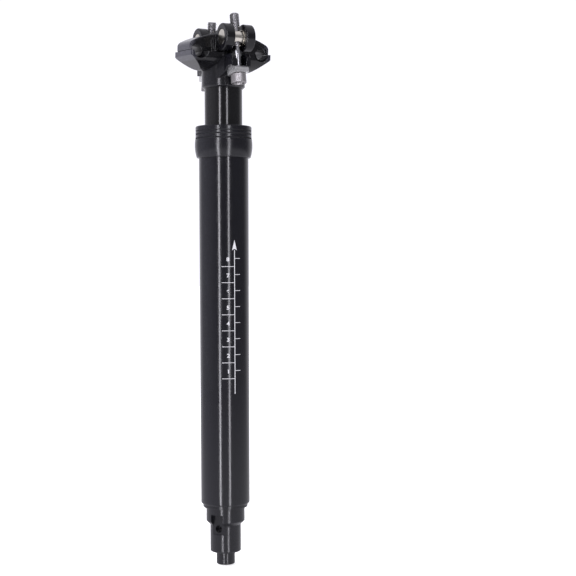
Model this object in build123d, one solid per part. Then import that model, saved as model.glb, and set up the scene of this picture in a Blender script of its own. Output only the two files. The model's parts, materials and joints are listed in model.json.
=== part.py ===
from build123d import *
import math
import os

# Dropper seatpost, in millimetres. +Z runs up the post to the saddle, X is across the bicycle and
# -Y is the side of the front clamp bolt. The origin is on the post's axis at the collar's underside,
# where the frame's seat tube ends. The post is modelled fully dropped.

# Seat tube fit and travel
post_diameter = 31.6
insert_length = 222.6
travel = 100.0
stanchion_diameter = 24.0
exposed_stanchion = 23.95

# Clearances shared by the pieces
running_clearance = 0.05
soft_gap = 0.3
rod_clearance = 0.04
overrun = 2.0

# Outer tube
tube_bore_radius = 13.6
tube_end_round = 1.1
collar_thread_radius = 15.4
collar_thread_height = 13.25
key_groove_radius = 14.55
key_groove_foot = 3.0

# Collar
collar_wall = 2.5
collar_foot_wall = 1.9
collar_bulge = 0.5
collar_bulge_height = 8.6
collar_waist_step = 0.1
collar_waist_height = 12.6
collar_mouth_gap = 2.2
collar_lip_height = 2.3
collar_edge = 0.8
collar_groove_depth = 0.28
collar_groove_width = 0.6
collar_groove_drops = (7.8, 5.2, 3.2)

# Upper bushing and wiper seal
bushing_length = 49.0
bushing_flange = 1.15
seal_height = 3.25
seal_proud = 0.4
seal_lip_height = 1.4
seal_body_gap = 0.9

# Stanchion, lower bushing and keys
stanchion_bore_radius = 10.2
stanchion_socket_depth = 7.3
lower_bushing_length = 18.0
lower_bushing_seat_depth = 0.6
lower_bushing_from_end = 2.0
lower_bushing_split = 1.2
key_count = 3
key_width = 4.0
key_length = 18.0
key_inner_radius = 11.1
key_above_bushing = 3.0

# Foot housing, from the tube's end downwards
flange_radius = 14.45
flange_height = 2.3
flange_round = 0.5
upper_foot_radius = 12.5
upper_foot_height = 9.0
foot_chamfer = 2.5
lower_foot_radius = 10.0
lower_foot_height = 17.7
lower_foot_round = 1.0
plug_height = 10.6
cartridge_seat_depth = 6.0
spring_chamber_radius = 7.6
spring_chamber_height = 14.0
cartridge_ledge = 3.0
valve_passage_radius = 2.5

# Pocket and side hole in the foot housing
side_hole_azimuth = 217.0
side_hole_radius = 2.4
side_hole_below_chamfer = 1.9
side_pocket_width = 8.5
side_pocket_above = 9.3
side_pocket_below = 3.8
side_pocket_flat = 9.05

# Foot O-ring
o_ring_section_radius = 0.45
o_ring_groove_depth = 0.95
o_ring_groove_width = 1.4
o_ring_above_flange = 4.6

# Cable plunger, its spring and the cable anchor
plunger_radius = 6.0
plunger_stroke = 2.5
plunger_proud = 8.4
plunger_round = 0.8
plunger_flange_radius = 7.3
plunger_flange_height = 2.0
plunger_nose_radius = 3.0
housing_bore_radius = 2.55
housing_bore_depth = 8.0
cable_bore_radius = 0.9
spring_wire_radius = 0.5
spring_mean_radius = 5.2
spring_turns = 5
anchor_recess = 2.6
anchor_blind_wall = 0.6
set_screw_radius = 1.5
set_screw_length = 3.0
set_screw_socket = 1.5
set_screw_socket_depth = 1.2

# Gas cartridge
cartridge_radius = 8.0
cartridge_bore_radius = 7.0
valve_block_height = 10.0
valve_pin_radius = 1.5
valve_pin_height = 16.0
valve_seal_section = 0.6
valve_seal_seat = 3.0
seal_head_height = 12.0
seal_head_from_top = 2.0
snap_ring_wire = 0.6
clip_height = 1.0
clip_radius = 10.1
clip_groove_radius = 7.5
clip_gap = 9.0
rod_radius = 4.0
rod_seal_height = 3.0
rod_seal_radius = 5.6
piston_height = 8.0
piston_above_valve = 10.0
piston_ring_height = 2.0
piston_ring_depth = 1.0
topout_bumper_height = 1.6
bottom_bumper_height = 4.0
rod_thread_depth = 8.0
rod_boss_radius = 6.5
rod_boss_height = 12.0

# Head
neck_radius = 13.7
rim_radius = 12.75
rim_chamfer = 0.95
rail_above_rim = 22.2
seat_radius = 17.1
bolt_angle = 8.5
nut_offset = 19.2
nut_above_rails = 8.45
lug_half_width = 6.3
lug_reach = 27.5
lug_height_above_seat = 8.2
lug_corner = 2.4
lug_root_depth = 6.0
lug_root_slope = 34.0
lug_flare = 4.0
lug_flare_length = 8.0
slot_half_width = 3.45
channel_half_width = 3.8
channel_floor = 4.0

# Rails and the two clamp plates
rail_radius = 3.5
rail_spacing = 44.0
cradle_half_width = 27.4
cradle_half_length = 13.9
plate_gap = 0.2
cradle_end_height = 3.0
cradle_slope_x = 17.0
cradle_slope_drop = 11.4
cradle_corner = 1.2
mouth_depth = 4.0
mouth_growth = 1.4
mouth_shift = 1.4
clamp_half_width = 27.2
clamp_wing_half_length = 11.0
clamp_wing_corner = 1.3
clamp_dish_depth = 2.2
clamp_dish_lip = 1.5
clamp_block_half_length = 12.6
clamp_tip_height = 3.4
clamp_nose_height = 6.2
clamp_nose_inset = 2.2
clamp_tip_inset = 0.7
clamp_shoulder_x = 18.4
clamp_shoulder_height = 9.0
clamp_crown_x = 10.0
clamp_crown_height = 10.9
clamp_top_height = 11.3
clamp_edge_round = 1.0
clamp_pocket_half_width = 15.0
clamp_pocket_half_length = 6.5
clamp_pocket_height = 4.5
tilt_limit = 8.0
rest_tilt = 3.6

# Ears, barrel nuts, bolts and half-round washers
ear_radius = 8.4
ear_inner = 3.8
ear_outer = 10.0
ear_arm_top = 1.6
ear_arm_bottom = 6.4
ear_round = 0.8
nut_radius = 5.0
nut_waist_radius = 4.5
nut_recess = 0.2
nut_chamfer = 0.4
bolt_radius = 3.0
bolt_above_nut = 14.0
bolt_tip_chamfer = 0.6
bolt_head_radius = 4.8
bolt_head_height = 6.0
bolt_head_chamfer = 0.4
bolt_socket_flats = 5.0
bolt_socket_depth = 3.3
bolt_reach = 24.3
washer_half_width = 4.65
washer_half_length = 5.85
washer_side_height = 3.0
washer_crown = 2.2
washer_hole_clearance = 0.12
thread_clearance = 0.03

# Places that follow from the sizes
tube_radius = post_diameter / 2
stanchion_radius = stanchion_diameter / 2
tube_end = -insert_length
flange_bottom = tube_end - flange_height
chamfer_top = flange_bottom - upper_foot_height
chamfer_bottom = chamfer_top - foot_chamfer
foot_bottom = chamfer_bottom - lower_foot_height
collar_height = collar_thread_height + bushing_flange + seal_height + collar_lip_height
collar_top_radius = collar_thread_radius + collar_wall
collar_mouth_radius = stanchion_radius + collar_mouth_gap
plug_top = tube_end + plug_height
ledge_top = plug_top - cartridge_seat_depth
ledge_bottom = ledge_top - cartridge_ledge
chamber_floor = ledge_bottom - spring_chamber_height
stanchion_foot = plug_top + bottom_bumper_height + soft_gap
bushing_foot = stanchion_foot + lower_bushing_from_end
bushing_top = bushing_foot + lower_bushing_length
key_foot = bushing_top + key_above_bushing
head_rim = collar_height + exposed_stanchion
socket_top = head_rim + stanchion_socket_depth
rail_height = head_rim + rail_above_rim
nut_height = rail_height + nut_above_rails
tilt_height = nut_height - nut_offset * math.tan(math.radians(bolt_angle))
nut_arm = nut_offset / math.cos(math.radians(bolt_angle))
washer_foot = -(bolt_reach - running_clearance)
washer_curve = (washer_half_length ** 2 + washer_crown ** 2) / (2 * washer_crown)
seat_low = tilt_height - seat_radius
cartridge_foot = ledge_top
valve_block_top = cartridge_foot + valve_block_height
piston_foot = valve_block_top + piston_above_valve
piston_top = piston_foot + piston_height
seal_head_foot = piston_top + travel + soft_gap + topout_bumper_height
seal_head_top = seal_head_foot + seal_head_height
cartridge_top = seal_head_top + seal_head_from_top
rod_top = socket_top - rod_boss_height + rod_thread_depth
side_hole_height = chamfer_bottom - side_hole_below_chamfer
nose_top = ledge_bottom - plunger_stroke - soft_gap
bumper_outer = tube_bore_radius - soft_gap


def disc(radius, low, high):
    return Pos(0, 0, low) * Cylinder(radius, high - low, align=(Align.CENTER, Align.CENTER, Align.MIN))


def ring(outer, inner, low, high):
    return disc(outer, low, high) - disc(inner, low - overrun, high + overrun)


def block(x_low, x_high, y_low, y_high, z_low, z_high):
    corner = (Align.MIN, Align.MIN, Align.MIN)
    return Pos(x_low, y_low, z_low) * Box(x_high - x_low, y_high - y_low, z_high - z_low, align=corner)


def cross_bar(radius, y, z, half_length):
    return Pos(0, y, z) * Rot(0, 90, 0) * Cylinder(radius, 2 * half_length)


def turned(points):
    return revolve(make_face(Polyline(*[(r, 0, z) for r, z in points], close=True)), Axis.Z)


def o_ring(section, radius, z):
    return Pos(0, 0, z) * Torus(radius, section)


def edges_at_height(shape, z):
    return [e for e in shape.edges().filter_by(GeomType.CIRCLE) if abs(e.center().Z - z) < running_clearance]


def around(count, piece):
    return [Rot(0, 0, 360 * i / count) * piece for i in range(count)]


def on_bolt(side, shape):
    return Pos(0, side * nut_offset, nut_height) * Rot(side * bolt_angle, 0, 0) * shape


# The clamp is set a little nose down on its seat; the bolts keep their direction
def tilted(shape):
    return Pos(0, 0, tilt_height) * Rot(rest_tilt, 0, 0) * Pos(0, 0, -tilt_height) * shape


def in_ears(side, shape):
    centre = tilted(Pos(0, side * nut_offset, nut_height)).position
    return Pos(centre) * Rot(side * bolt_angle, 0, 0) * shape


# Outer tube, with a threaded top for the collar and grooves for the keys
def outer_tube():
    body = disc(tube_radius, tube_end, 0) + disc(collar_thread_radius, 0, collar_thread_height)
    body = fillet(edges_at_height(body, tube_end), tube_end_round)
    body -= disc(tube_bore_radius, tube_end - overrun, collar_thread_height + overrun)
    groove_half = key_width / 2 + running_clearance
    groove = block(0, key_groove_radius, -groove_half, groove_half,
                   key_foot - key_groove_foot, collar_thread_height + overrun)
    return body - around(key_count, groove)


# Collar screwed on the tube, holding the wiper seal
def collar():
    foot = collar_thread_radius + collar_foot_wall
    waist = collar_top_radius + collar_waist_step
    bulge = collar_top_radius + collar_bulge
    with BuildPart() as made:
        with BuildSketch(Plane.XZ):
            with BuildLine():
                mouth = collar_thread_radius + running_clearance
                lip = collar_height - collar_lip_height
                Polyline((mouth, 0), (mouth, lip), (collar_mouth_radius, lip),
                         (collar_mouth_radius, collar_height), (collar_top_radius, collar_height),
                         (collar_top_radius, collar_waist_height), (waist, collar_waist_height))
                ThreePointArc((waist, collar_waist_height), (bulge, collar_bulge_height),
                              (foot, collar_edge / 2))
                Polyline((foot, collar_edge / 2), (foot - collar_edge / 2, 0), (mouth, 0))
            make_face()
        revolve(axis=Axis.Z)
    body = made.part
    top_rim = [e for e in edges_at_height(body, collar_height) if e.radius > collar_mouth_radius + overrun]
    body = fillet(top_rim, collar_edge)
    for drop in collar_groove_drops:
        height = collar_height - drop
        body -= ring(bulge + overrun, collar_top_radius - collar_groove_depth,
                     height - collar_groove_width / 2, height + collar_groove_width / 2)
    return body


# Flanged bushing in the tube's mouth
def upper_bushing():
    inner = stanchion_radius + running_clearance
    sleeve = disc(tube_bore_radius, collar_thread_height - bushing_length, collar_thread_height)
    flange = disc(collar_thread_radius, collar_thread_height, collar_thread_height + bushing_flange)
    return sleeve + flange - disc(inner, -bushing_length, collar_height)


# Wiper seal with a thin lip round the stanchion
def wiper_seal():
    foot = collar_thread_height + bushing_flange
    step = collar_height - collar_lip_height
    top = collar_height + seal_proud
    lip = stanchion_radius + soft_gap
    waist = lip + seal_body_gap
    mouth = collar_mouth_radius - running_clearance
    return turned([(waist, foot), (collar_thread_radius, foot), (collar_thread_radius, step), (mouth, step),
                   (mouth, collar_height), (lip + seal_proud, top), (lip, top),
                   (lip, top - seal_lip_height), (waist, top - 2 * seal_lip_height)])


# Stanchion with a seat for its bushing and pockets for the keys
def stanchion():
    body = ring(stanchion_radius, stanchion_bore_radius, stanchion_foot, socket_top)
    seat = stanchion_radius - lower_bushing_seat_depth
    body -= ring(stanchion_radius + overrun, seat, bushing_foot, bushing_top)
    pocket = block(key_inner_radius, stanchion_radius + overrun, -key_width / 2, key_width / 2,
                   key_foot, key_foot + key_length)
    return body - around(key_count, pocket)


# Split glide ring at the stanchion's foot
def lower_bushing():
    outer = tube_bore_radius - running_clearance
    body = ring(outer, stanchion_radius - lower_bushing_seat_depth, bushing_foot, bushing_top)
    half = lower_bushing_split / 2
    return body - block(-half, half, 0, outer + overrun, bushing_foot - overrun, bushing_top + overrun)


# Keys that stop the stanchion turning
def anti_rotation_keys():
    key = block(key_inner_radius, key_groove_radius - running_clearance, -key_width / 2, key_width / 2,
                key_foot, key_foot + key_length)
    return Compound(children=around(key_count, key))


# Foot housing: flange, two steps, threaded plug, spring chamber and guide for the plunger
def foot_housing():
    lower = disc(lower_foot_radius, foot_bottom, chamfer_bottom)
    lower = fillet(edges_at_height(lower, foot_bottom), lower_foot_round)
    steps = turned([(0, chamfer_bottom), (lower_foot_radius, chamfer_bottom), (upper_foot_radius, chamfer_top),
                    (upper_foot_radius, flange_bottom), (0, flange_bottom)])
    flange = disc(flange_radius, flange_bottom, tube_end)
    flange = fillet(edges_at_height(flange, flange_bottom), flange_round)
    plug = disc(tube_bore_radius - running_clearance, tube_end, plug_top)
    body = lower + steps + flange + plug
    groove = tube_end + o_ring_above_flange
    body -= ring(tube_bore_radius + overrun, tube_bore_radius - o_ring_groove_depth,
                 groove - o_ring_groove_width / 2, groove + o_ring_groove_width / 2)
    body -= disc(cartridge_radius + running_clearance, ledge_top, plug_top + overrun)
    body -= disc(valve_passage_radius, ledge_bottom - overrun, ledge_top + overrun)
    body -= disc(spring_chamber_radius, chamber_floor, ledge_bottom)
    body -= disc(plunger_radius + running_clearance, foot_bottom - overrun, chamber_floor + overrun)
    pocket = block(side_pocket_flat, upper_foot_radius + overrun, -side_pocket_width / 2,
                   side_pocket_width / 2, side_hole_height - side_pocket_below,
                   side_hole_height + side_pocket_above)
    far_end = lower_foot_radius - anchor_blind_wall
    hole = Pos(-far_end, 0, side_hole_height) * Rot(0, 90, 0) * Cylinder(
        side_hole_radius, far_end + upper_foot_radius, align=(Align.CENTER, Align.CENTER, Align.MIN))
    return body - Rot(0, 0, side_hole_azimuth) * (pocket + hole)


def foot_o_ring():
    section = o_ring_section_radius
    return o_ring(section, tube_bore_radius - running_clearance - section, tube_end + o_ring_above_flange)


# Bumper that the stanchion's foot meets when the post is dropped
def bottom_bumper():
    return ring(bumper_outer, clip_radius + running_clearance, plug_top, plug_top + bottom_bumper_height)


# Sliding cable stop: the cable housing pushes it up against the valve pin
def cable_plunger():
    foot = foot_bottom - plunger_proud
    flange_low = chamber_floor + running_clearance
    tip = disc(plunger_radius, foot, flange_low)
    tip = fillet(edges_at_height(tip, foot), plunger_round)
    body = tip + disc(plunger_flange_radius, flange_low, flange_low + plunger_flange_height)
    body += disc(plunger_nose_radius, flange_low, nose_top)
    body -= disc(housing_bore_radius, foot - overrun, foot + housing_bore_depth)
    body -= disc(cable_bore_radius, foot, side_hole_height)
    half = side_hole_radius + running_clearance
    slot = block(-plunger_radius - overrun, plunger_radius + overrun, -half, half,
                 side_hole_height - half - plunger_stroke, side_hole_height + half)
    return body - Rot(0, 0, side_hole_azimuth) * slot


# Spring that pushes the plunger back down
def plunger_spring():
    low = chamber_floor + running_clearance + plunger_flange_height + spring_wire_radius
    high = ledge_bottom - spring_wire_radius - running_clearance
    pitch = (high - low) / spring_turns
    path = Pos(0, 0, low) * Helix(pitch, high - low, spring_mean_radius)
    wire = Plane(origin=path @ 0, z_dir=path % 0) * Circle(spring_wire_radius)
    return sweep(wire, path=path, is_frenet=True)


# Fixed cross barrel that holds the cable's end, with its set screw
def cable_anchor():
    low = -(lower_foot_radius - anchor_blind_wall - running_clearance)
    high = side_pocket_flat - anchor_recess
    barrel = Pos(low, 0, 0) * Rot(0, 90, 0) * Cylinder(
        side_hole_radius - running_clearance, high - low, align=(Align.CENTER, Align.CENTER, Align.MIN))
    barrel -= Rot(0, 90, 0) * Cylinder(
        set_screw_radius, high + overrun, align=(Align.CENTER, Align.CENTER, Align.MIN))
    barrel -= Cylinder(cable_bore_radius, 4 * side_hole_radius)
    return Rot(0, 0, side_hole_azimuth) * Pos(0, 0, side_hole_height) * barrel


def anchor_set_screw():
    high = side_pocket_flat - anchor_recess - running_clearance
    screw = Pos(high - set_screw_length, 0, 0) * Rot(0, 90, 0) * Cylinder(
        set_screw_radius, set_screw_length, align=(Align.CENTER, Align.CENTER, Align.MIN))
    socket = Pos(high - set_screw_socket_depth, 0, 0) * Rot(0, 90, 0) * extrude(
        RegularPolygon(set_screw_socket / 2, 6, major_radius=False), set_screw_socket_depth + overrun)
    return Rot(0, 0, side_hole_azimuth) * Pos(0, 0, side_hole_height) * (screw - socket)


# Gas cartridge: fixed in the foot, with its rod pointing up
def cartridge_tube():
    body = ring(cartridge_radius, cartridge_bore_radius, cartridge_foot, cartridge_top)
    clip_low = plug_top
    body -= ring(cartridge_radius + overrun, clip_groove_radius, clip_low, clip_low + clip_height)
    snap = seal_head_top + snap_ring_wire
    return body - o_ring(snap_ring_wire, cartridge_bore_radius, snap)


def cartridge_clip():
    body = ring(clip_radius, clip_groove_radius, plug_top, plug_top + clip_height)
    half = clip_gap / 2
    return body - block(0, clip_radius + overrun, -half, half, plug_top - overrun, plug_top + overrun)


def valve_block():
    body = ring(cartridge_bore_radius, valve_pin_radius + rod_clearance, cartridge_foot, valve_block_top)
    seat = valve_pin_radius + 2 * valve_seal_section
    seal = cartridge_foot + valve_seal_seat
    return body - disc(seat, seal - valve_seal_section, seal + valve_seal_section)


def valve_seal():
    section = valve_seal_section - rod_clearance
    return o_ring(section, valve_pin_radius + valve_seal_section, cartridge_foot + valve_seal_seat)


def valve_pin():
    foot = nose_top + running_clearance
    return disc(valve_pin_radius, foot, foot + valve_pin_height)


def seal_head():
    body = ring(cartridge_bore_radius, rod_radius + rod_clearance, seal_head_foot, seal_head_top)
    middle = (seal_head_foot + seal_head_top) / 2
    return body - disc(rod_seal_radius, middle - rod_seal_height / 2, middle + rod_seal_height / 2)


def rod_seal():
    middle = (seal_head_foot + seal_head_top) / 2
    return ring(rod_seal_radius, rod_radius + running_clearance,
                middle - rod_seal_height / 2, middle + rod_seal_height / 2)


def snap_ring():
    body = o_ring(snap_ring_wire, cartridge_bore_radius, seal_head_top + snap_ring_wire)
    half = snap_ring_wire * 2
    height = seal_head_top + snap_ring_wire
    return body - block(0, cartridge_radius, -half, half, height - half, height + half)


def topout_bumper():
    return ring(cartridge_bore_radius - soft_gap, rod_radius + soft_gap,
                seal_head_foot - topout_bumper_height, seal_head_foot)


def piston():
    body = disc(cartridge_bore_radius - running_clearance, piston_foot, piston_top)
    ring_low = (piston_foot + piston_top - piston_ring_height) / 2
    body -= ring(cartridge_bore_radius, cartridge_bore_radius - piston_ring_depth,
                 ring_low, ring_low + piston_ring_height)
    return body - disc(rod_radius, piston_foot - overrun, piston_top + overrun)


def piston_ring():
    ring_low = (piston_foot + piston_top - piston_ring_height) / 2
    return ring(cartridge_bore_radius - rod_clearance, cartridge_bore_radius - piston_ring_depth,
                ring_low, ring_low + piston_ring_height)


def piston_rod():
    return disc(rod_radius, piston_foot, rod_top)


# Head: neck socket, curved cradle seat and two slotted lugs
def lug(side):
    tilt = math.radians(bolt_angle)
    seat_drop = -washer_foot - washer_side_height
    seat_y = nut_offset + seat_drop * math.sin(tilt)
    seat_z = nut_height - seat_drop * math.cos(tilt)
    inner = neck_radius - lug_root_depth
    top = seat_low + lug_height_above_seat
    knee = seat_y - washer_half_length
    knee_z = seat_z - washer_half_length * math.tan(tilt)
    root_z = knee_z - (knee - inner) * math.tan(math.radians(lug_root_slope))
    outline = [(inner, root_z), (knee, knee_z), (lug_reach, seat_z + (lug_reach - seat_y) * math.tan(tilt)),
               (lug_reach, top - lug_corner), (lug_reach - lug_corner, top), (inner, top)]
    root_half = lug_half_width + lug_flare
    face = make_face(Polyline(*[(-root_half, side * y, z) for y, z in outline], close=True))
    body = extrude(face, 2 * root_half, dir=(1, 0, 0))
    flare_y = inner + lug_flare_length
    plan = [(-root_half, inner), (-lug_half_width, flare_y), (-lug_half_width, lug_reach),
            (lug_half_width, lug_reach), (lug_half_width, flare_y), (root_half, inner)]
    footprint = make_face(Polyline(*[(x, side * y, root_z) for x, y in plan], close=True))
    body &= extrude(footprint, top - root_z, dir=(0, 0, 1))
    near, far = sorted((0, side * lug_reach))
    slot = Cylinder(slot_half_width, 4 * bolt_reach)
    slot += block(-slot_half_width, slot_half_width, near, far, -2 * bolt_reach, 2 * bolt_reach)
    channel = Cylinder(channel_half_width, 2 * bolt_reach, align=(Align.CENTER, Align.CENTER, Align.MIN))
    channel += block(-channel_half_width, channel_half_width, near, far, 0, 2 * bolt_reach)
    seat = Pos(0, 0, washer_foot + washer_side_height + washer_crown - washer_curve) * Rot(0, 90, 0) * Cylinder(
        washer_curve, 4 * lug_half_width)
    seat &= block(-2 * lug_half_width, 2 * lug_half_width, -lug_reach, lug_reach, washer_foot, 0)
    body -= on_bolt(side, slot)
    body -= on_bolt(side, Pos(0, 0, washer_foot + washer_side_height + channel_floor) * channel)
    return body - on_bolt(side, seat)


def head():
    neck = turned([(0, head_rim), (rim_radius, head_rim), (neck_radius, head_rim + rim_chamfer),
                   (neck_radius, seat_low + lug_height_above_seat), (0, seat_low + lug_height_above_seat)])
    body = neck + lug(-1) + lug(1)
    body -= cross_bar(seat_radius, 0, tilt_height, cradle_half_width + overrun)
    body -= disc(stanchion_radius, head_rim - overrun, socket_top)
    boss = disc(rod_boss_radius, socket_top - rod_boss_height, socket_top)
    return body + boss - disc(rod_radius, socket_top - rod_boss_height - overrun, rod_top)


def rail_pair(radius):
    bar = Rot(90, 0, 0) * Cylinder(radius, 4 * cradle_half_length)
    return [Pos(s * rail_spacing / 2, 0, rail_height) * bar for s in (-1, 1)]


def rail_mouths():
    mouths = []
    for side in (-1, 1):
        for hand in (-1, 1):
            inner = Plane(origin=(hand * rail_spacing / 2, side * (cradle_half_length - mouth_depth), rail_height),
                          z_dir=(0, side, 0))
            outer = Plane(origin=(hand * (rail_spacing / 2 - mouth_shift), side * cradle_half_length, rail_height),
                          z_dir=(0, side, 0))
            mouths.append(loft([inner * Circle(rail_radius), outer * Circle(rail_radius + mouth_growth)]))
    return mouths


# Lower cradle: rocks in the head's seat and carries the two rails
def lower_cradle():
    top = rail_height - plate_gap / 2
    end_low = top - cradle_end_height
    slope_low = rail_height - cradle_slope_drop
    half = cradle_half_width
    outline = [(-half, top), (-half, end_low), (-cradle_slope_x, slope_low),
               (-cradle_slope_x + overrun, seat_low), (cradle_slope_x - overrun, seat_low),
               (cradle_slope_x, slope_low), (half, end_low), (half, top)]
    face = make_face(Polyline(*[(x, -cradle_half_length, z) for x, z in outline], close=True))
    body = extrude(face, 2 * cradle_half_length, dir=(0, 1, 0))
    body = fillet(body.edges().filter_by(Axis.Z), cradle_corner)
    body &= cross_bar(seat_radius - running_clearance, 0, tilt_height, cradle_half_width + overrun)
    return tilted(body - rail_pair(rail_radius) - rail_mouths())


# Upper clamp: winged plate with two pairs of ears for the barrel nuts
def ear_arm(side, hand):
    middle = hand * (ear_inner + ear_outer) / 2
    half = (ear_outer - ear_inner) / 2
    boss = Pos(middle, side * nut_offset, nut_height) * Rot(0, 90, 0) * Cylinder(ear_radius, 2 * half)
    boss = fillet(boss.edges().filter_by(GeomType.CIRCLE), ear_round)
    near, far = sorted((0, side * nut_offset))
    arm = block(middle - half, middle + half, near, far, nut_height - ear_arm_bottom, nut_height + ear_arm_top)
    return boss + arm


def wing_section(inset, low):
    height = rail_height - inset
    side = clamp_half_width - inset
    tip = side - clamp_tip_inset
    nose = (side - clamp_nose_inset, height + clamp_nose_height)
    crown = (clamp_crown_x, height + clamp_crown_height)
    shoulder = (clamp_shoulder_x, height + clamp_shoulder_height)
    with BuildSketch(Plane.XZ) as section:
        with BuildLine():
            Line((0, height + clamp_top_height), crown)
            ThreePointArc(crown, shoulder, nose)
            ThreePointArc(nose, (side, height + clamp_tip_height), (tip, low))
            Line((tip, low), (0, low))
            mirror(about=Plane.YZ)
        make_face()
    return section.sketch


def wing_dishes(low):
    dish = extrude(wing_section(clamp_dish_lip, low - overrun), clamp_wing_half_length + overrun, both=True)
    floor = clamp_wing_half_length - clamp_dish_depth
    height = low + 2 * ear_radius
    dish -= block(-clamp_half_width, clamp_half_width, -floor, floor, low - 2 * overrun, height)
    half = ear_outer + clamp_dish_lip
    reach = clamp_wing_half_length + 2 * overrun
    return dish - block(-half, half, -reach, reach, low - 2 * overrun, height)


def upper_clamp():
    low = rail_height + plate_gap / 2
    body = extrude(wing_section(0, low), clamp_wing_half_length, both=True)
    plan = extrude(RectangleRounded(2 * clamp_half_width, 2 * clamp_wing_half_length, clamp_wing_corner),
                   rail_height + 2 * ear_radius)
    body &= plan
    rims = [e for e in body.edges() if abs(abs(e.center().Y) - clamp_wing_half_length) < running_clearance
            and e.center().Z > low + clamp_edge_round]
    body = fillet(rims, clamp_edge_round) - wing_dishes(low)
    top = rail_height + clamp_crown_height - ear_round
    body += block(-ear_outer, ear_outer, -clamp_block_half_length, clamp_block_half_length, low, top)
    for side in (-1, 1):
        for hand in (-1, 1):
            body += ear_arm(side, hand)
    body -= block(-clamp_pocket_half_width, clamp_pocket_half_width, -clamp_pocket_half_length,
                  clamp_pocket_half_length, low - overrun, low + clamp_pocket_height)
    for side in (-1, 1):
        body -= cross_bar(nut_radius + running_clearance, side * nut_offset, nut_height, 2 * ear_outer)
    return tilted(body - rail_pair(rail_radius) - rail_mouths())


# Barrel nut that swivels in a pair of ears
def barrel_nut(side):
    half = ear_outer - nut_recess
    body = Rot(0, 90, 0) * Cylinder(nut_radius, 2 * half)
    body = chamfer(body.edges().filter_by(GeomType.CIRCLE), nut_chamfer)
    waist = 2 * (ear_inner - nut_recess)
    body -= Rot(0, 90, 0) * (Cylinder(nut_radius + overrun, waist) - Cylinder(nut_waist_radius, waist))
    swing = nut_arm * (1 - math.cos(math.radians(tilt_limit)))
    body -= Cylinder(bolt_radius + swing + thread_clearance, 4 * nut_radius)
    return in_ears(side, body)


# Socket cap bolt, put in from below
def clamp_bolt(side):
    shank = disc(bolt_radius, -bolt_reach, bolt_above_nut)
    shank = chamfer(edges_at_height(shank, bolt_above_nut), bolt_tip_chamfer)
    bottom = -bolt_reach - bolt_head_height
    cap = disc(bolt_head_radius, bottom, -bolt_reach)
    cap = chamfer(edges_at_height(cap, bottom), bolt_head_chamfer)
    socket = Pos(0, 0, bottom - overrun) * extrude(
        RegularPolygon(bolt_socket_flats / 2, 6, major_radius=False), bolt_socket_depth + overrun)
    return on_bolt(side, shank + cap - socket)


# Washer with a curved top, between a bolt's head and its lug
def half_washer(side):
    height = washer_side_height + washer_crown
    body = block(-washer_half_width, washer_half_width, -washer_half_length, washer_half_length, 0, height)
    body &= Pos(0, 0, height - washer_curve) * Rot(0, 90, 0) * Cylinder(washer_curve, 4 * washer_half_width)
    body -= Cylinder(bolt_radius + washer_hole_clearance, 4 * washer_half_length)
    return on_bolt(side, Pos(0, 0, washer_foot) * body)


nodes = {
    "outer_tube": outer_tube(),
    "collar": collar(),
    "upper_bushing": upper_bushing(),
    "wiper_seal": wiper_seal(),
    "foot_housing": foot_housing(),
    "foot_o_ring": foot_o_ring(),
    "bottom_bumper": bottom_bumper(),
    "cable_plunger": cable_plunger(),
    "plunger_spring": plunger_spring(),
    "cable_anchor": cable_anchor(),
    "anchor_set_screw": anchor_set_screw(),
    "cartridge_tube": cartridge_tube(),
    "cartridge_clip": cartridge_clip(),
    "valve_block": valve_block(),
    "valve_seal": valve_seal(),
    "valve_pin": valve_pin(),
    "seal_head": seal_head(),
    "rod_seal": rod_seal(),
    "seal_head_snap_ring": snap_ring(),
    "topout_bumper": topout_bumper(),
    "piston": piston(),
    "piston_ring": piston_ring(),
    "piston_rod": piston_rod(),
    "stanchion": stanchion(),
    "lower_bushing": lower_bushing(),
    "anti_rotation_keys": anti_rotation_keys(),
    "head": head(),
    "lower_cradle": lower_cradle(),
    "upper_clamp": upper_clamp(),
}
for side, name in ((-1, "front"), (1, "rear")):
    nodes[f"barrel_nut_{name}"] = barrel_nut(side)
    nodes[f"clamp_bolt_{name}"] = clamp_bolt(side)
    nodes[f"half_washer_{name}"] = half_washer(side)

os.makedirs("parts", exist_ok=True)
for name, shape in nodes.items():
    export_step(shape, f"parts/{name}.step")
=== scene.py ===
import json
import math

import bmesh
import bpy
from mathutils import Matrix, Vector


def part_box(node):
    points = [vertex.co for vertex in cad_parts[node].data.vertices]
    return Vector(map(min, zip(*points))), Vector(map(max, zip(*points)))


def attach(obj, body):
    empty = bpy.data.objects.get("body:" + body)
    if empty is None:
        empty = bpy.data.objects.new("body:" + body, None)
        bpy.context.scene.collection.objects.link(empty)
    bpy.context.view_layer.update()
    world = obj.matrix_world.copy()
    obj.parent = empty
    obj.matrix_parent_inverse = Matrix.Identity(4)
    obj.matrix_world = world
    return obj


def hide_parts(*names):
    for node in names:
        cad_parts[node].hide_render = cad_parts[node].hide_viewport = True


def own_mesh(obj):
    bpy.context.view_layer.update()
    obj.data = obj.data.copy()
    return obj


# Dropper seatpost: finishes, threaded bolts, the foot's return spring and the printed height scale,
# over the CAD frame.
# Lengths are in metres and the axes are the frame's: +Z up the post, -Y the front bolt's side.

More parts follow.
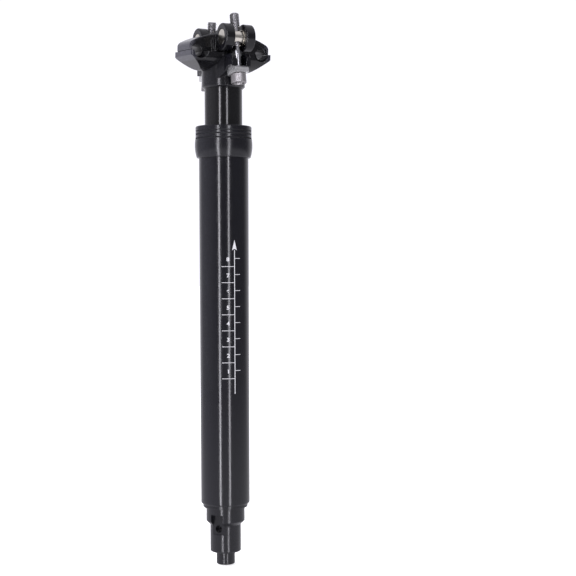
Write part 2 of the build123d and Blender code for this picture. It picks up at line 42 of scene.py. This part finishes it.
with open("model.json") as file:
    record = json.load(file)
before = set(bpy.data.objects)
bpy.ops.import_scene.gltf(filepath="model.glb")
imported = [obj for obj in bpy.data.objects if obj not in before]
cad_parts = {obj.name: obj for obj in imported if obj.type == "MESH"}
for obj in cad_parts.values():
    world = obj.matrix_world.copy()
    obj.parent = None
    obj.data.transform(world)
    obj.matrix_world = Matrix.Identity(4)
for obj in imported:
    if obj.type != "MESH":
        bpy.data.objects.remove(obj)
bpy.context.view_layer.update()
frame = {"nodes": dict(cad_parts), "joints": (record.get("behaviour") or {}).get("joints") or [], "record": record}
scene = bpy.context.scene
scene.view_settings.view_transform = "Standard"

MM = 0.001

# Places read from the CAD frame
TUBE_RADIUS = Vector(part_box("outer_tube")[1]).x
TIP_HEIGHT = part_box("cable_plunger")[0][2]
COLLAR_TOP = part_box("collar")[1][2]


def joint(name):
    return next(j for j in frame["joints"] if j["name"] == name)


def placed(name, data):
    """Object with this data, linked into the scene."""
    made = bpy.data.objects.new(name, data)
    scene.collection.objects.link(made)
    return made


# Camera: the photograph's viewing angle
CAMERA_AZIMUTH = math.radians(-27.0)
CAMERA_ELEVATION = math.radians(3.7)
CAMERA_ROLL = math.radians(0.12)
CAMERA_DISTANCE = 0.839
CAMERA_HEIGHT = -0.1128
POST_LEFT_OF_CENTRE = 0.0409
FOCAL_LENGTH_PX = 1300.0
IMAGE_PX = 576.0
PRINCIPAL_ROW_BELOW_CENTRE_PX = 46.0
SENSOR_MM = 36.0


def horizontal(angle):
    """Unit vector on the camera's side, turned by angle to the right as the camera sees it."""
    azimuth = CAMERA_AZIMUTH + angle
    return Vector((math.sin(azimuth), -math.cos(azimuth), 0))


def make_camera():
    right = Vector((math.cos(CAMERA_AZIMUTH), math.sin(CAMERA_AZIMUTH), 0))
    back = horizontal(0) * math.cos(CAMERA_ELEVATION) + Vector((0, 0, math.sin(CAMERA_ELEVATION)))
    up = back.cross(right)
    place = Vector((0, 0, CAMERA_HEIGHT)) + back * CAMERA_DISTANCE + right * POST_LEFT_OF_CENTRE
    x_axis = right * math.cos(CAMERA_ROLL) - up * math.sin(CAMERA_ROLL)
    y_axis = up * math.cos(CAMERA_ROLL) + right * math.sin(CAMERA_ROLL)
    data = bpy.data.cameras.new("camera")
    data.sensor_width = SENSOR_MM
    data.lens = FOCAL_LENGTH_PX / IMAGE_PX * SENSOR_MM
    data.shift_y = PRINCIPAL_ROW_BELOW_CENTRE_PX / IMAGE_PX
    camera = placed("camera", data)
    turn = Matrix((x_axis, y_axis, back)).transposed().to_4x4()
    camera.matrix_world = Matrix.Translation(place) @ turn
    scene.camera = camera


# Studio: a bright left side and ground, a dim front, two tall soft strips on the camera's side
# and a white floor
LIGHT_TINT = (0.97, 0.96, 1.03)
GLOSS_LEVELS = dict(left=0.5, front=0.16, right=0.2, behind=0.85, above=0.7, below=0.85)
FILL_LEVELS = dict(left=0.6, front=0.9, right=0.7, behind=0.8, above=0.5, below=0.0)
BACKDROP_LEVEL = 1.1

# Cosines of a ray's direction over which each side of the studio goes over into the front
LEFT_RAMP = (-1.0, -0.35)
RIGHT_RAMP = (0.35, 1.0)
BEHIND_RAMP = (-0.85, -0.2)
ABOVE_RAMP = (0.35, 0.85)
BELOW_RAMP = (-0.22, -0.04)

# Lamps and floor
STRIP_ANGLES = (math.radians(-19.5), math.radians(24.5))
STRIP_DISTANCE = 1.1
STRIP_WIDTH = 0.11
STRIP_HEIGHT = 1.7
STRIP_MIDDLE = 0.15
STRIP_POWERS = (8.6, 6.5)
KEY_ANGLE = math.radians(-92.0)
KEY_DISTANCE = 1.1
KEY_SIZE = 0.7
KEY_POWER = 26.0
FLOOR_GAP = 0.0005
FLOOR_SIZE = 12.0
FLOOR_COLOUR = (0.9, 0.9, 0.9, 1)
FLOOR_GLOW = (0.6, 0.6, 0.6, 1)


def node(tree, kind, **values):
    made = tree.nodes.new(kind)
    for name, value in values.items():
        if hasattr(made, name):
            setattr(made, name, value)
        else:
            made.inputs[name.replace("_", " ")].default_value = value
    return made


def spread(tree, source, low, high, at_low, at_high):
    """Value that goes smoothly from at_low to at_high while the source goes from low to high."""
    made = node(tree, "ShaderNodeMapRange", interpolation_type="SMOOTHSTEP",
                From_Min=low, From_Max=high, To_Min=at_low, To_Max=at_high)
    tree.links.new(source, made.inputs["Value"])
    return made.outputs["Result"]


def largest(tree, *values):
    result = values[0]
    for value in values[1:]:
        made = node(tree, "ShaderNodeMath", operation="MAXIMUM")
        tree.links.new(result, made.inputs[0])
        tree.links.new(value, made.inputs[1])
        result = made.outputs["Value"]
    return result


def surroundings(tree, sideways, towards, upwards, levels):
    left = spread(tree, sideways, *LEFT_RAMP, levels["left"], levels["front"])
    right = spread(tree, sideways, *RIGHT_RAMP, levels["front"], levels["right"])
    behind = spread(tree, towards, *BEHIND_RAMP, levels["behind"], levels["front"])
    above = spread(tree, upwards, *ABOVE_RAMP, levels["front"], levels["above"])
    below = spread(tree, upwards, *BELOW_RAMP, levels["below"], levels["front"])
    return largest(tree, left, right, behind, above, below)


def make_world():
    """Backdrop for the camera, GLOSS_LEVELS for reflections and FILL_LEVELS for matt surfaces."""
    world = bpy.data.worlds.new("studio")
    world.use_nodes = True
    scene.world = world
    tree = world.node_tree
    tree.nodes.clear()
    link = tree.links.new
    direction = node(tree, "ShaderNodeTexCoord")
    sideways = node(tree, "ShaderNodeVectorMath", operation="DOT_PRODUCT")
    sideways.inputs[1].default_value = horizontal(math.pi / 2)
    towards = node(tree, "ShaderNodeVectorMath", operation="DOT_PRODUCT")
    towards.inputs[1].default_value = horizontal(0)
    link(direction.outputs["Generated"], sideways.inputs[0])
    link(direction.outputs["Generated"], towards.inputs[0])
    parts = node(tree, "ShaderNodeSeparateXYZ")
    link(direction.outputs["Generated"], parts.inputs[0])
    where = (sideways.outputs["Value"], towards.outputs["Value"], parts.outputs["Z"])
    rays = node(tree, "ShaderNodeLightPath")
    backdrop = node(tree, "ShaderNodeMath", operation="MULTIPLY")
    link(rays.outputs["Is Camera Ray"], backdrop.inputs[0])
    backdrop.inputs[1].default_value = BACKDROP_LEVEL
    seen = largest(tree, surroundings(tree, *where, GLOSS_LEVELS), backdrop.outputs["Value"])
    level = node(tree, "ShaderNodeMix", data_type="FLOAT")
    link(rays.outputs["Is Diffuse Ray"], level.inputs[0])
    link(seen, level.inputs[2])
    link(surroundings(tree, *where, FILL_LEVELS), level.inputs[3])
    background = node(tree, "ShaderNodeBackground", Color=(*LIGHT_TINT, 1))
    link(level.outputs[0], background.inputs["Strength"])
    output = node(tree, "ShaderNodeOutputWorld")
    link(background.outputs["Background"], output.inputs["Surface"])


def area_light(name, angle, distance, width, height, power):
    data = bpy.data.lights.new(name, "AREA")
    data.shape = "RECTANGLE"
    data.size = width
    data.size_y = height
    data.energy = power
    data.color = LIGHT_TINT
    light = placed(name, data)
    outward = horizontal(angle)
    up = Vector((0, 0, 1))
    turn = Matrix((up.cross(outward), up, outward)).transposed().to_4x4()
    light.matrix_world = Matrix.Translation(outward * distance + up * STRIP_MIDDLE) @ turn
    return light


def make_lights():
    """Strips that show only as reflections, and a key light on the left for matt surfaces only."""
    for index, (angle, power) in enumerate(zip(STRIP_ANGLES, STRIP_POWERS)):
        strip = area_light(f"strip_{index}", angle, STRIP_DISTANCE, STRIP_WIDTH, STRIP_HEIGHT, power)
        strip.visible_diffuse = False
    key = area_light("key", KEY_ANGLE, KEY_DISTANCE, KEY_SIZE, STRIP_HEIGHT, KEY_POWER)
    key.visible_glossy = False


def make_floor():
    half = FLOOR_SIZE / 2
    mesh = bpy.data.meshes.new("floor")
    height = TIP_HEIGHT - FLOOR_GAP
    corners = ((-half, -half), (half, -half), (half, half), (-half, half))
    mesh.from_pydata([(x, y, height) for x, y in corners], [], [(0, 1, 2, 3)])
    floor = placed("floor", mesh)
    floor.visible_glossy = False
    material = bpy.data.materials.new("floor_white")
    material.use_nodes = True
    tree = material.node_tree
    tree.nodes.clear()
    diffuse = node(tree, "ShaderNodeBsdfDiffuse", Color=FLOOR_COLOUR)
    rays = node(tree, "ShaderNodeLightPath")
    glow = node(tree, "ShaderNodeEmission", Color=FLOOR_GLOW)
    tree.links.new(rays.outputs["Is Camera Ray"], glow.inputs["Strength"])
    both = node(tree, "ShaderNodeAddShader")
    tree.links.new(diffuse.outputs["BSDF"], both.inputs[0])
    tree.links.new(glow.outputs["Emission"], both.inputs[1])
    output = node(tree, "ShaderNodeOutputMaterial")
    tree.links.new(both.outputs["Shader"], output.inputs["Surface"])
    mesh.materials.append(material)


# Finishes
BROAD_NOISE = dict(Scale=0.09, Detail=3.0, Roughness=0.55)
FINE_NOISE = dict(Detail=2.0, Roughness=0.5)
NOISE_LOW = 0.3
NOISE_HIGH = 0.7
EDGE_SAMPLES = 6
# Width over which the painted light on the ends fades in
PAINTED_LIGHT_RAMP = 2 * MM
MATT_ROUGHNESS = 0.7


def with_painted_light_ends(tree, place, colour, painted_light_ends):
    """Colour made paler on both sides of the object's middle, along X: painted light, standing in for the light
    that falls on the end faces.
    """
    if not painted_light_ends:
        return colour
    start, factor = painted_light_ends
    parts = node(tree, "ShaderNodeSeparateXYZ")
    tree.links.new(place.outputs["Object"], parts.inputs[0])
    distance = node(tree, "ShaderNodeMath", operation="ABSOLUTE")
    tree.links.new(parts.outputs["X"], distance.inputs[0])
    strength = spread(tree, distance.outputs["Value"], start, start + PAINTED_LIGHT_RAMP, 1.0, factor)
    scaled = node(tree, "ShaderNodeVectorMath", operation="SCALE")
    tree.links.new(colour, scaled.inputs[0])
    tree.links.new(strength, scaled.inputs["Scale"])
    return scaled.outputs[0]


def with_matt_bands(tree, place, roughness, matt_bands):
    """Roughness that is MATT_ROUGHNESS in bands around the object, given as heights and widths."""
    if not matt_bands:
        return roughness
    parts = node(tree, "ShaderNodeSeparateXYZ")
    tree.links.new(place.outputs["Object"], parts.inputs[0])
    masks = []
    for height, width in matt_bands:
        inside = node(tree, "ShaderNodeMath", operation="COMPARE")
        tree.links.new(parts.outputs["Z"], inside.inputs[0])
        inside.inputs[1].default_value = height
        inside.inputs[2].default_value = width / 2
        masks.append(inside.outputs["Value"])
    mixed = node(tree, "ShaderNodeMix", data_type="FLOAT")
    tree.links.new(largest(tree, *masks), mixed.inputs[0])
    tree.links.new(roughness, mixed.inputs[2])
    mixed.inputs[3].default_value = MATT_ROUGHNESS
    return mixed.outputs[0]


def finish_material(name, colour, metallic, roughness, variation, grain_scale, grain_height,
                    speck=0.0, stretch=(1, 1, 1), edge=0.0, painted_light_ends=None, matt_bands=None):
    """Principled finish with its own fine variation of tone, gloss and surface height.

    variation is how far the roughness strays to either side, and speck the share by which the tone
    varies. grain_scale is in features per millimetre, grain_height in metres, and stretch makes
    turned or drawn surfaces: a small value along an axis draws the grain out along it. edge rounds
    the shading of sharp edges, in metres. The paler ends are painted light: the ends argument gives
    the distance from the middle, in metres, where the painted light starts, and how much paler the
    ends are made. matt_bands are heights and widths, in metres, of grooves that were left matt."""
    material = bpy.data.materials.new(name)
    material.use_nodes = True
    tree = material.node_tree
    tree.nodes.clear()
    link = tree.links.new
    shader = node(tree, "ShaderNodeBsdfPrincipled", Metallic=metallic)
    output = node(tree, "ShaderNodeOutputMaterial")
    link(shader.outputs["BSDF"], output.inputs["Surface"])
    place = node(tree, "ShaderNodeTexCoord")
    scaled = node(tree, "ShaderNodeMapping", vector_type="POINT")
    scaled.inputs["Scale"].default_value = [s / MM for s in stretch]
    link(place.outputs["Object"], scaled.inputs["Vector"])
    broad = node(tree, "ShaderNodeTexNoise", **BROAD_NOISE)
    link(scaled.outputs["Vector"], broad.inputs["Vector"])
    fine = node(tree, "ShaderNodeTexNoise", Scale=grain_scale, **FINE_NOISE)
    link(scaled.outputs["Vector"], fine.inputs["Vector"])
    gloss = node(tree, "ShaderNodeMapRange", From_Min=NOISE_LOW, From_Max=NOISE_HIGH,
                 To_Min=roughness - variation, To_Max=roughness + variation)
    link(broad.outputs["Fac"], gloss.inputs["Value"])
    banded = with_matt_bands(tree, place, gloss.outputs["Result"], matt_bands)
    link(banded, shader.inputs["Roughness"])
    tone = node(tree, "ShaderNodeMix", data_type="RGBA")
    link(fine.outputs["Fac"], tone.inputs[0])
    tone.inputs[6].default_value = [c * (1 - speck) for c in colour] + [1]
    tone.inputs[7].default_value = [c * (1 + speck) for c in colour] + [1]
    link(with_painted_light_ends(tree, place, tone.outputs[2], painted_light_ends), shader.inputs["Base Color"])
    bump = node(tree, "ShaderNodeBump", Strength=1.0, Distance=grain_height)
    link(fine.outputs["Fac"], bump.inputs["Height"])
    if edge:
        rounded = node(tree, "ShaderNodeBevel", samples=EDGE_SAMPLES, Radius=edge)
        link(rounded.outputs["Normal"], bump.inputs["Normal"])
    link(bump.outputs["Normal"], shader.inputs["Normal"])
    return material


BLACK = (0.0075, 0.0075, 0.011)
GROOVES_BELOW_COLLAR_TOP = ((3.1, 0.6), (5.2, 1.0), (7.8, 1.0))
COLLAR_GROOVES = [(COLLAR_TOP - drop * MM, width * MM) for drop, width in GROOVES_BELOW_COLLAR_TOP]
FINISHES = {
    "tube_black": dict(colour=BLACK, metallic=0, roughness=0.16, variation=0.03,
                       grain_scale=0.9, grain_height=1.2e-6, speck=0.25),
    "collar_black": dict(colour=BLACK, metallic=0, roughness=0.2, variation=0.03,
                         grain_scale=1.4, grain_height=1.5e-6, speck=0.25, stretch=(0.1, 0.1, 3),
                         matt_bands=COLLAR_GROOVES),
    "head_black": dict(colour=(0.006, 0.006, 0.0085), metallic=0, roughness=0.22, variation=0.04,
                       grain_scale=3.0, grain_height=4e-6, speck=0.4, edge=0.6 * MM),
    "clamp_black": dict(colour=(0.005, 0.005, 0.0067), metallic=0, roughness=0.17, variation=0.03,
                        grain_scale=3.0, grain_height=4e-6, speck=0.4, edge=0.7 * MM,
                        # painted light: beyond 23 mm from the middle the clamp's colour is made 5.8 times lighter,
                        # standing in for the light on its end faces
                        painted_light_ends=(23 * MM, 5.8)),
    "stanchion_black": dict(colour=(0.007, 0.007, 0.008), metallic=0, roughness=0.15, variation=0.02,
                            grain_scale=1.2, grain_height=0.8e-6, speck=0.2, stretch=(1, 1, 0.2)),
    "foot_black": dict(colour=BLACK, metallic=0, roughness=0.22, variation=0.04,
                       grain_scale=1.6, grain_height=1.8e-6, speck=0.3, stretch=(0.1, 0.1, 3)),
    "bolt_steel": dict(colour=(0.41, 0.395, 0.4), metallic=0.95, roughness=0.45, variation=0.06,
                       grain_scale=4.0, grain_height=3e-6, speck=0.15),
    "thread_steel": dict(colour=(0.39, 0.385, 0.395), metallic=0.95, roughness=0.36, variation=0.06,
                         grain_scale=4.0, grain_height=3e-6, speck=0.2),
    "shank_steel": dict(colour=(0.3, 0.3, 0.31), metallic=1, roughness=0.11, variation=0.02,
                        grain_scale=2.0, grain_height=1.5e-6, speck=0.1, stretch=(1, 1, 0.2)),
    "washer_steel": dict(colour=(0.8, 0.8, 0.8), metallic=0.88, roughness=0.28, variation=0.05,
                         grain_scale=3.0, grain_height=2e-6, speck=0.08, stretch=(0.15, 2, 2)),
    "nut_brass": dict(colour=(0.82, 0.78, 0.7), metallic=1, roughness=0.2, variation=0.05,
                      grain_scale=3.0, grain_height=3e-6, speck=0.12, stretch=(2.5, 0.3, 0.3)),
    "bushing_polymer": dict(colour=(0.045, 0.045, 0.05), metallic=0, roughness=0.55, variation=0.08,
                            grain_scale=2.0, grain_height=6e-6, speck=0.2),
    "seal_rubber": dict(colour=(0.012, 0.012, 0.012), metallic=0, roughness=0.62, variation=0.08,
                        grain_scale=4.0, grain_height=8e-6, speck=0.3),
    "key_brass": dict(colour=(0.7, 0.52, 0.25), metallic=1, roughness=0.32, variation=0.06,
                      grain_scale=2.5, grain_height=3e-6, speck=0.1),
    "cartridge_steel": dict(colour=(0.55, 0.56, 0.58), metallic=1, roughness=0.28, variation=0.05,
                            grain_scale=2.0, grain_height=2e-6, speck=0.1, stretch=(1, 1, 0.1)),
    "rod_chrome": dict(colour=(0.82, 0.82, 0.84), metallic=1, roughness=0.09, variation=0.02,
                       grain_scale=2.0, grain_height=1e-6, speck=0.03),
    "inner_aluminium": dict(colour=(0.7, 0.7, 0.72), metallic=1, roughness=0.34, variation=0.05,
                            grain_scale=2.0, grain_height=3e-6, speck=0.08, stretch=(0.1, 0.1, 3)),
    "spring_steel": dict(colour=(0.42, 0.42, 0.44), metallic=1, roughness=0.3, variation=0.05,
                         grain_scale=3.0, grain_height=2e-6, speck=0.1),
    "print_ink": dict(colour=(0.9, 0.9, 0.91), metallic=0, roughness=0.5, variation=0.05,
                      grain_scale=5.0, grain_height=2e-6, speck=0.15),
}


def dress_nodes(materials):
    for part in frame["record"]["subparts"]:
        mesh = frame["nodes"][part["node"]].data
        mesh.materials.clear()
        mesh.materials.append(materials[part["material_slot"]])


# Meshes made of rings of points, each ring a function of the angle
SHARP_ANGLE = math.radians(60)


def ring_mesh(name, rings, segments, finishes):
    """Closed mesh through rings of (height, radius function), with a point in each end's middle."""
    mesh = bpy.data.meshes.new(name)
    points = [(0, 0, rings[0][0])]
    for height, radius in rings:
        for step in range(segments):
            angle = 2 * math.pi * step / segments
            r = radius(angle)
            points.append((r * math.cos(angle), r * math.sin(angle), height))
    points.append((0, 0, rings[-1][0]))
    faces = []
    last = len(points) - 1
    for step in range(segments):
        after = (step + 1) % segments
        faces.append((0, 1 + after, 1 + step))
        for row in range(len(rings) - 1):
            low = 1 + row * segments
            high = low + segments
            faces.append((low + step, low + after, high + after, high + step))
        top = 1 + (len(rings) - 1) * segments
        faces.append((top + step, top + after, last))
    mesh.from_pydata(points, [], faces)
    for finish in finishes:
        mesh.materials.append(finish)
    mesh.shade_smooth()
    mesh.set_sharp_from_angle(angle=SHARP_ANGLE)
    return placed(name, mesh)


# Clamp bolts: M6 socket cap screws with a rolled thread, put in from below
BOLT_RADIUS = 3.0 * MM
THREAD_PITCH = 1.0 * MM
THREAD_DEPTH = 0.54 * MM
THREAD_STEPS = 10
THREAD_STEEPNESS = 1.25
THREAD_CREST_FLAT = 0.1
THREAD_RUNOUT = 1.2 * MM
THREAD_LEFT_AT_END = 0.3
END_TAPER_LENGTH = THREAD_PITCH * 0.75
END_TAPER_SLOPE = 0.9
PLAIN_SHANK = 17.0 * MM
BOLT_REACH = 24.3 * MM
BOLT_ABOVE_NUT = 14.0 * MM
HEAD_RADIUS = 4.8 * MM
HEAD_HEIGHT = 6.0 * MM
HEAD_EDGE = 0.4 * MM
KNURL_DEPTH = 0.04 * MM
KNURL_COUNT = 36
SOCKET_HALF = 2.5 * MM
SOCKET_DEPTH = 3.3 * MM
SOCKET_LEAD = 0.25 * MM
BOLT_SEGMENTS = 144
BOLT_FINISHES = ["thread_steel", "shank_steel", "bolt_steel"]


def plain(radius):
    return lambda angle: radius


def hexagon(half):
    def radius(angle):
        return half / math.cos((angle + math.pi / 6) % (math.pi / 3) - math.pi / 6)
    return radius


def knurled(radius, depth):
    return lambda angle: radius - depth * (0.5 - 0.5 * math.cos(KNURL_COUNT * angle))


def threaded(height, low, high):
    """Radius of the thread at this height: a vee with narrow flats that fades at both ends."""
    fade_in = (height - low) / THREAD_RUNOUT
    fade_out = (high - height) / THREAD_PITCH + THREAD_LEFT_AT_END
    fade = max(0.0, min(1.0, fade_in, fade_out))

    def radius(angle):
        turn = (height / THREAD_PITCH - angle / (2 * math.pi)) % 1.0
        vee = 1 - abs(2 * turn - 1)
        cut = min(1.0, max(0.0, THREAD_STEEPNESS * vee - THREAD_CREST_FLAT))
        return BOLT_RADIUS - THREAD_DEPTH * fade * cut
    return radius


def bolt_rings():
    """Rings from the socket's end down to its mouth, then up outside the head, shank and thread."""
    head_top = -BOLT_REACH
    bottom = head_top - HEAD_HEIGHT
    rings = [(bottom + SOCKET_DEPTH, hexagon(SOCKET_HALF)),
             (bottom + SOCKET_LEAD, hexagon(SOCKET_HALF)),
             (bottom, hexagon(SOCKET_HALF + SOCKET_LEAD)),
             (bottom, plain(HEAD_RADIUS - HEAD_EDGE)),
             (bottom + HEAD_EDGE, plain(HEAD_RADIUS)),
             (bottom + 2 * HEAD_EDGE, knurled(HEAD_RADIUS, KNURL_DEPTH)),
             (head_top - 2 * HEAD_EDGE, knurled(HEAD_RADIUS, KNURL_DEPTH)),
             (head_top - HEAD_EDGE, plain(HEAD_RADIUS)),
             (head_top, plain(HEAD_RADIUS - HEAD_EDGE)),
             (head_top, plain(BOLT_RADIUS))]
    low = head_top + PLAIN_SHANK
    high = BOLT_ABOVE_NUT
    rings.append((low, plain(BOLT_RADIUS)))
    count = int((high - low) / THREAD_PITCH * THREAD_STEPS)
    for step in range(1, count + 1):
        height = low + (high - low) * step / count
        taper = max(0.0, height - (high - END_TAPER_LENGTH)) * END_TAPER_SLOPE
        thread = threaded(height, low, high)
        rings.append((height, lambda angle, t=thread, c=taper: min(t(angle), BOLT_RADIUS - c)))
    return rings


def on_bolt(name):
    """Place of a bolt's axis: the origin at its nut's height, +Z up the bolt."""
    turn = joint(f"bolt_{name}_turn")
    axis = Vector(turn["axis"])
    if axis.z < 0:
        axis = -axis
    upright = axis.to_track_quat("Z", "Y").to_matrix().to_4x4()
    return Matrix.Translation(Vector(turn["pos_m"])) @ upright


def clamp_bolt(name, materials):
    finishes = [materials[finish] for finish in BOLT_FINISHES]
    piece = ring_mesh(f"threaded_bolt_{name}", bolt_rings(), BOLT_SEGMENTS, finishes)
    for face in piece.data.polygons:
        if face.center.z < -BOLT_REACH + HEAD_EDGE / 2:
            face.material_index = BOLT_FINISHES.index("bolt_steel")
        elif face.center.z < -BOLT_REACH + PLAIN_SHANK:
            face.material_index = BOLT_FINISHES.index("shank_steel")
    piece.data.transform(on_bolt(name))
    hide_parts(f"clamp_bolt_{name}")
    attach(piece, f"bolt_{name}")


# Return spring in the foot, as a coil of fixed length
SPRING_WIRE_RADIUS = 0.5 * MM
SPRING_TURNS = 5
SPRING_STEPS = 48
SPRING_SIDES = 16


def return_spring(materials):
    """Coil in the place of the CAD's rigid spring, held at its top in the foot housing."""
    low, high = (Vector(c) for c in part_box("plunger_spring"))
    mean_radius = high.x - SPRING_WIRE_RADIUS
    foot = low.z + SPRING_WIRE_RADIUS
    length = high.z - low.z
    rise = length - 2 * SPRING_WIRE_RADIUS
    count = SPRING_TURNS * SPRING_STEPS
    slope = Vector((0, 2 * math.pi * SPRING_TURNS * mean_radius, rise)).normalized()
    points = []
    for step in range(count + 1):
        turn = Matrix.Rotation(2 * math.pi * step / SPRING_STEPS, 3, "Z")
        outward = turn @ Vector((1, 0, 0))
        across = (turn @ slope).cross(outward)
        centre = outward * mean_radius + Vector((0, 0, foot + rise * step / count))
        for side in range(SPRING_SIDES):
            angle = 2 * math.pi * side / SPRING_SIDES
            spoke = outward * math.cos(angle) + across * math.sin(angle)
            points.append(centre + spoke * SPRING_WIRE_RADIUS)
    last = len(points) - 1
    faces = [tuple(range(SPRING_SIDES)), tuple(range(last, last - SPRING_SIDES, -1))]
    for step in range(count):
        row = step * SPRING_SIDES
        above = row + SPRING_SIDES
        for side in range(SPRING_SIDES):
            after = (side + 1) % SPRING_SIDES
            faces.append((row + after, row + side, above + side, above + after))
    mesh = bpy.data.meshes.new("return_spring")
    mesh.from_pydata(points, [], faces)
    mesh.materials.append(materials["spring_steel"])
    mesh.shade_smooth()
    piece = placed("return_spring", mesh)
    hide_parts("plunger_spring")
    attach(piece, "outer")
    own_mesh(piece)


# Printed height scale on the tube's front
INK_LIFT = 0.02 * MM
INK_SINK = 0.01 * MM
INK_STEP = 0.4 * MM
SCALE_PITCH = 10.17 * MM
SCALE_TOP_TICK = -69.05 * MM
SCALE_COUNT = 8
LONG_TICK = 8.4 * MM
SHORT_TICK = 4.0 * MM
TICK_WIDTH = 0.32 * MM
LINE_WIDTH = 0.47 * MM
LINE_TOP = -58.6 * MM
LINE_BOTTOM = -150.0 * MM
DIGIT_OUT = 4.3 * MM
DIGIT_ABOVE_TICK = 4.4 * MM
DIGIT_HEIGHT = 2.7 * MM
DIGIT_SHARE_OF_FONT_SIZE = 0.8
DIGIT_BOLDNESS = 0.035
DIGIT_WIDEN = 1.12
ARROW_TIP = -52.3 * MM
ARROW_LENGTH = 6.5 * MM
ARROW_WIDTH = 3.3 * MM
ARROW_NOTCH = 1.0 * MM


def wrapped(name, outline_mesh, materials):
    """Cuts a flat mesh, drawn as (arc to the right, height), into strips and lays it on the tube."""
    flat = bmesh.new()
    flat.from_mesh(outline_mesh)
    low = min(v.co.x for v in flat.verts)
    high = max(v.co.x for v in flat.verts)
    cut = math.floor(low / INK_STEP) * INK_STEP + INK_STEP
    while cut < high:
        everything = flat.verts[:] + flat.edges[:] + flat.faces[:]
        bmesh.ops.bisect_plane(flat, geom=everything, plane_co=(cut, 0, 0), plane_no=(1, 0, 0))
        cut += INK_STEP
    raised = bmesh.ops.extrude_face_region(flat, geom=flat.faces[:])
    for item in raised["geom"]:
        if isinstance(item, bmesh.types.BMVert):
            item.co.z += INK_LIFT + INK_SINK
    for v in flat.verts:
        angle = v.co.x / TUBE_RADIUS
        radius = TUBE_RADIUS - INK_SINK + v.co.z
        v.co = (radius * math.sin(angle), -radius * math.cos(angle), v.co.y)
    bmesh.ops.recalc_face_normals(flat, faces=flat.faces)
    mesh = bpy.data.meshes.new(name)
    flat.to_mesh(mesh)
    flat.free()
    mesh.materials.append(materials["print_ink"])
    piece = placed(name, mesh)
    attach(piece, "outer")


def polygons(shapes):
    """Flat mesh with one face for each list of (arc to the right, height)."""
    mesh = bpy.data.meshes.new("flat")
    points = [(x, y, 0) for shape in shapes for x, y in shape]
    faces = []
    for shape in shapes:
        start = sum(len(f) for f in faces)
        faces.append(tuple(range(start, start + len(shape))))
    mesh.from_pydata(points, [], faces)
    return mesh


def bar(x_low, x_high, y_low, y_high):
    return [(x_low, y_low), (x_high, y_low), (x_high, y_high), (x_low, y_high)]


def digit_mesh(text, x, y):
    data = bpy.data.curves.new("digit", "FONT")
    data.body = text
    data.align_x = "CENTER"
    data.align_y = "CENTER"
    data.size = DIGIT_HEIGHT / DIGIT_SHARE_OF_FONT_SIZE
    data.offset = DIGIT_BOLDNESS * data.size
    holder = placed("digit", data)
    bpy.context.view_layer.update()
    mesh = bpy.data.meshes.new_from_object(holder)
    bpy.data.objects.remove(holder)
    mesh.transform(Matrix.Translation((x, y, 0)) @ Matrix.Diagonal((DIGIT_WIDEN, 1, 1, 1)))
    return mesh


def height_scale(materials):
    half = LINE_WIDTH / 2
    arrow = [(0, ARROW_TIP), (-ARROW_WIDTH / 2, ARROW_TIP - ARROW_LENGTH),
             (0, ARROW_TIP - ARROW_LENGTH + ARROW_NOTCH), (ARROW_WIDTH / 2, ARROW_TIP - ARROW_LENGTH)]
    shapes = [bar(-half, half, LINE_BOTTOM, LINE_TOP), arrow]
    for index in range(SCALE_COUNT):
        tick = SCALE_TOP_TICK - index * SCALE_PITCH
        middle = tick + SCALE_PITCH / 2
        shapes.append(bar(-LONG_TICK, -half, tick - TICK_WIDTH / 2, tick + TICK_WIDTH / 2))
        shapes.append(bar(half, SHORT_TICK, middle - TICK_WIDTH / 2, middle + TICK_WIDTH / 2))
        digit = digit_mesh(str(SCALE_COUNT - index), -DIGIT_OUT, tick + DIGIT_ABOVE_TICK)
        wrapped(f"scale_digit_{SCALE_COUNT - index}", digit, materials)
    wrapped("scale_lines", polygons(shapes), materials)


make_camera()
make_world()
make_lights()
make_floor()
materials = {name: finish_material(name, **values) for name, values in FINISHES.items()}
dress_nodes(materials)
clamp_bolt("front", materials)
clamp_bolt("rear", materials)
return_spring(materials)
height_scale(materials)
